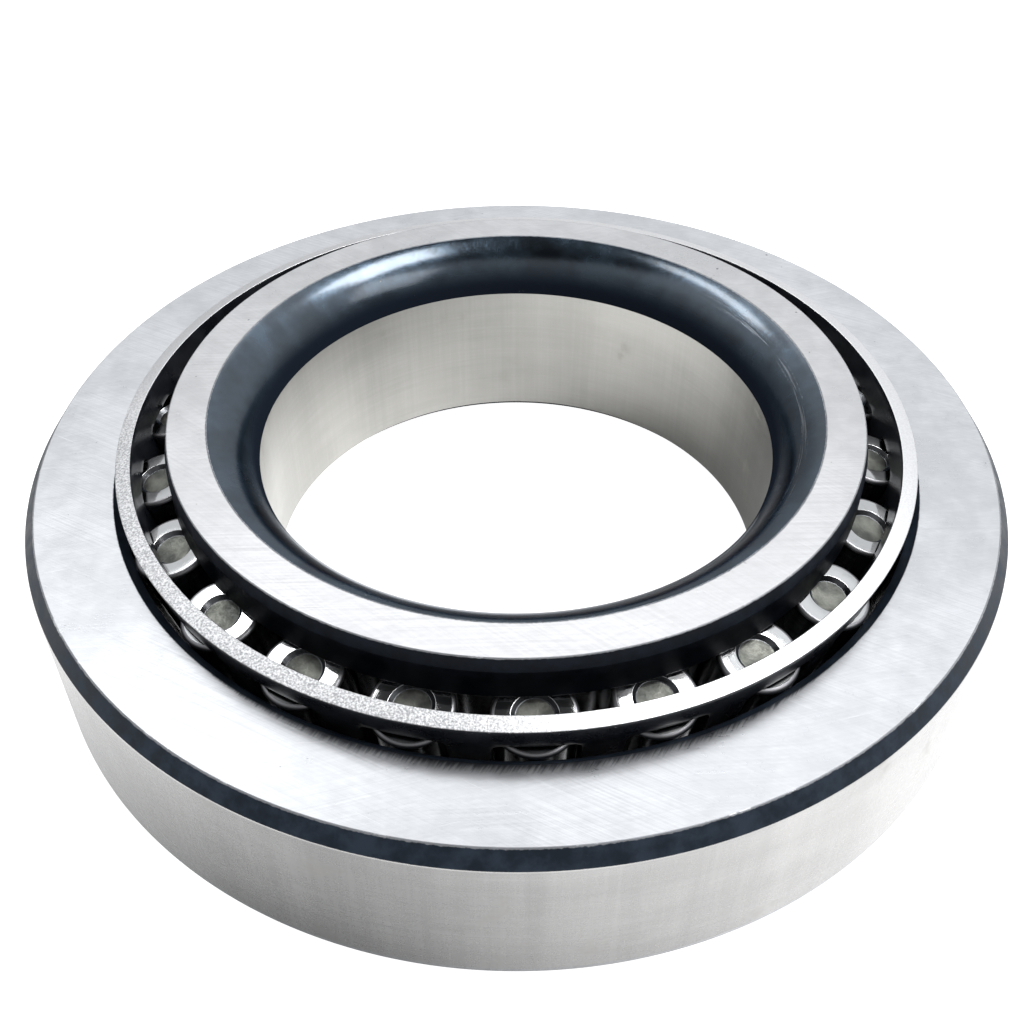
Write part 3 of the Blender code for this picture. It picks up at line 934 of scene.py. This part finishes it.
def sheared():
    """Cut edges: the rim smeared bright on one side and grainy where it tore on the other, that side
    darker as painted shade, and the windows dark.
    """
    made, tree, surface, place = new_finish("sheared_edge")
    toward = node(tree, "VectorMath", {0: place, 1: TORN_SHADED_SIDE}, operation="DOT_PRODUCT").outputs["Value"]
    torn_and_shaded = ease(tree, toward, *TORN_SHADED_FROM)
    grain = cloud(tree, place, TORN_GRAIN, detail=2.0, rough=0.6)
    dark = tint(tree, torn_and_shaded, SMOOTH_STEELS[0], TORN_SHADED_STEELS[0])
    light = tint(tree, torn_and_shaded, SMOOTH_STEELS[1], TORN_SHADED_STEELS[1])
    bright = tint(tree, ease(tree, grain, *TORN_EDGE), dark, light)
    _, height = from_axis(tree, place)
    at_rim = ease(tree, height, *SHEARED_FROM)
    tree.links.new(tint(tree, at_rim, PUNCHED_STEEL, bright), surface["Base Color"])
    tree.links.new(ease(tree, torn_and_shaded, 0.0, 1.0, *SHEARED_ROUGH), surface["Roughness"])
    relief(tree, surface, maths(tree, "MULTIPLY", grain, torn_and_shaded), TORN_DEPTH)
    return made


DEBURR_STEPS = 2
DEBURR_FROM = math.radians(40)

cage = set_out("pressed_cage", punch_cage())
cage.data.materials.append(phosphated())
cage.data.materials.append(sheared())
gauge = cage.modifiers.new("sheet_thickness", "SOLIDIFY")
gauge.thickness = CAGE_THICKNESS
gauge.offset = -1
gauge.use_even_offset = True
gauge.material_offset_rim = 1
deburr = cage.modifiers.new("broken_edges", "BEVEL")
deburr.width = CAGE_EDGE
deburr.segments = DEBURR_STEPS
deburr.limit_method = "ANGLE"
deburr.angle_limit = DEBURR_FROM
cage.modifiers.move(0, 2)
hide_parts("cage")
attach(cage, "cage")


# ---- Table and light -------------------------------------------------------------------------
# A white table under soft ceiling lights at the left, the right and the far side, with a window high on
# the near right. The pale room is darker on the near side, low on the left and straight overhead.

TABLE_SIZE = 6.0
TABLE_SQUARES = 8
TABLE_DROP = 0.05 * MM
TABLE_WHITE = 1.0
TABLE_GREY = (0.5, 0.5, 0.5, 1)
TABLE_ROUGH = 0.8
LIGHT_WHITE = (1, 1, 1, 1)
SHADE_PLACE = Vector((-0.38, -0.92, 0)) * 45 * MM
SHADE_REACH = (0.0, 54 * MM, 0.08, 0.9)
TWIN_PLACE = Vector((-62, 38, 0)) * MM
TWIN_REACH = (16 * MM, 34 * MM, 0.15, 1.0)
FAR_REACH = (5 * MM, 40 * MM, 1.0, 0.4)
BORE_REACH = (-18 * MM, 15 * MM, 1.1, 0.02)
BORE_SHADOW = (BORE_RADIUS, BORE_RADIUS + 2 * MM, 1.0, 0.0)


def white_table():
    """White seen straight on. The steel mirrors it darker in the bearing's own shade on the near side, on
    the far side, in the shade of a second bearing at the far left, and on the right inside the bore."""
    made = bpy.data.materials.new("white_table")
    made.use_nodes = True
    tree = made.node_tree
    surface = tree.nodes["Principled BSDF"].inputs
    place = node(tree, "TexCoord").outputs["Object"]
    ways = node(tree, "SeparateXYZ", {0: place}).outputs
    radius, _ = from_axis(tree, place)
    apart = node(tree, "VectorMath", {0: place, 1: SHADE_PLACE}, operation="DISTANCE").outputs["Value"]
    twin = node(tree, "VectorMath", {0: place, 1: TWIN_PLACE}, operation="DISTANCE").outputs["Value"]
    outside = maths(tree, "MULTIPLY", ease(tree, apart, *SHADE_REACH), ease(tree, twin, *TWIN_REACH))
    outside = maths(tree, "MULTIPLY", outside, ease(tree, ways["Y"], *FAR_REACH))
    within = ease(tree, radius, *BORE_SHADOW)
    # The glow is painted light. Beyond what the camera sees straight on, the table gives off light itself,
    # brighter or darker by place, for the steel to mirror.
    glow = blend(tree, within, outside, ease(tree, ways["X"], *BORE_REACH))
    straight = node(tree, "LightPath").outputs["Is Camera Ray"]
    tree.links.new(blend(tree, straight, glow, TABLE_WHITE), surface["Emission Strength"])
    surface["Base Color"].default_value = TABLE_GREY
    surface["Roughness"].default_value = TABLE_ROUGH
    surface["Emission Color"].default_value = LIGHT_WHITE
    return made


table_top = bmesh.new()
bmesh.ops.create_grid(table_top, x_segments=TABLE_SQUARES, y_segments=TABLE_SQUARES, size=TABLE_SIZE / 2)
table_mesh = bpy.data.meshes.new("table")
table_top.to_mesh(table_mesh)
table_top.free()
table_mesh.materials.append(white_table())
table = bpy.data.objects.new("table", table_mesh)
table.location.z = -TABLE_DROP
bpy.context.scene.collection.objects.link(table)

# Each light: where it hangs in metres from the bearing, its width and length, and how bright it is.
SOFT_LIGHTS = {
    "ceiling_light_left": ((-0.40, 0.36, 0.84), (0.16, 0.38), 9.0),
    "ceiling_light_right": ((0.36, 0.10, 0.93), (0.36, 0.34), 14.5),
    "ceiling_light_far": ((-0.02, 0.64, 0.77), (0.56, 0.22), 1.35),
    "window": ((0.66, -0.36, 0.74), (0.50, 0.40), 3.5),
}

for name, (place, (width, length), strength) in SOFT_LIGHTS.items():
    lamp = bpy.data.lights.new(name, "AREA")
    lamp.shape = "RECTANGLE"
    lamp.size = width
    lamp.size_y = length
    lamp.energy = strength * math.pi * width * length
    hung = bpy.data.objects.new(name, lamp)
    hung.location = place
    hung.rotation_euler = (-Vector(place)).to_track_quat("-Z", "Y").to_euler()
    bpy.context.scene.collection.objects.link(hung)

# How bright the room is: two heights or directions, and the brightness at each of them.
ROOM_COLOUR = (0.96, 0.98, 1.0, 1)
ROOM_WHITE = 1.05
ROOM_WALLS = (0.0, 0.45, 0.8, 1.15)
ROOM_UPPER_WALLS = (0.64, 0.76, 0.0, 0.4)
ROOM_OVERHEAD = (0.83, 0.92, 1.0, 0.04)
ROOM_NEAR_SIDE = (-0.5, 0.25, 0.4, 1.0)
ROOM_LEFT_SIDE = (-0.65, 0.3, 0.4, 1.0)
ROOM_LOW_DOWN = (0.3, 0.6, 1.0, 0.0)

studio = bpy.data.worlds.new("studio")
studio.use_nodes = True
bpy.context.scene.world = studio
sky = studio.node_tree
looking = node(sky, "TexCoord").outputs["Generated"]
ways = node(sky, "SeparateXYZ", {0: looking}).outputs
upper = maths(sky, "ADD", ease(sky, ways["Z"], *ROOM_WALLS), ease(sky, ways["Z"], *ROOM_UPPER_WALLS))
above = maths(sky, "MULTIPLY", upper, ease(sky, ways["Z"], *ROOM_OVERHEAD))
near_side = ease(sky, ways["Y"], *ROOM_NEAR_SIDE)
left_dark = maths(sky, "SUBTRACT", 1.0, ease(sky, ways["X"], *ROOM_LEFT_SIDE))
left_dark = maths(sky, "MULTIPLY", ease(sky, ways["Z"], *ROOM_LOW_DOWN), left_dark)
left_low = maths(sky, "SUBTRACT", 1.0, left_dark)
glow = maths(sky, "MULTIPLY", above, maths(sky, "MULTIPLY", near_side, left_low))
straight = node(sky, "LightPath").outputs["Is Camera Ray"]
sky.nodes["Background"].inputs["Color"].default_value = ROOM_COLOUR
sky.links.new(blend(sky, straight, glow, ROOM_WHITE), sky.nodes["Background"].inputs["Strength"])
bpy.context.scene.view_settings.view_transform = "Standard"


# ---- Camera ----------------------------------------------------------------------------------
# Held close above the near side of the bearing and looking down into the bore, so that the far side of
# the rings looks much smaller than the near side. Everything is in focus.

CAMERA_BACK = 86.54 * MM
CAMERA_UP = 87.48 * MM
CAMERA_DOWN = math.radians(42.94)
CAMERA_TURN = math.radians(0.25)
CAMERA_ROLL = math.radians(-0.16)
CAMERA_LENS = 44.29
CAMERA_FILM = 36

eye = bpy.data.cameras.new("camera")
eye.lens = CAMERA_LENS
eye.sensor_width = CAMERA_FILM
eye.clip_start = MM
camera = bpy.data.objects.new("camera", eye)
camera.matrix_world = (
    Matrix.Translation((0, -CAMERA_BACK, CAMERA_UP))
    @ Matrix.Rotation(CAMERA_TURN, 4, "Z")
    @ Matrix.Rotation(math.pi / 2 - CAMERA_DOWN, 4, "X")
    @ Matrix.Rotation(CAMERA_ROLL, 4, "Z")
)
bpy.context.scene.collection.objects.link(camera)
bpy.context.scene.camera = camera
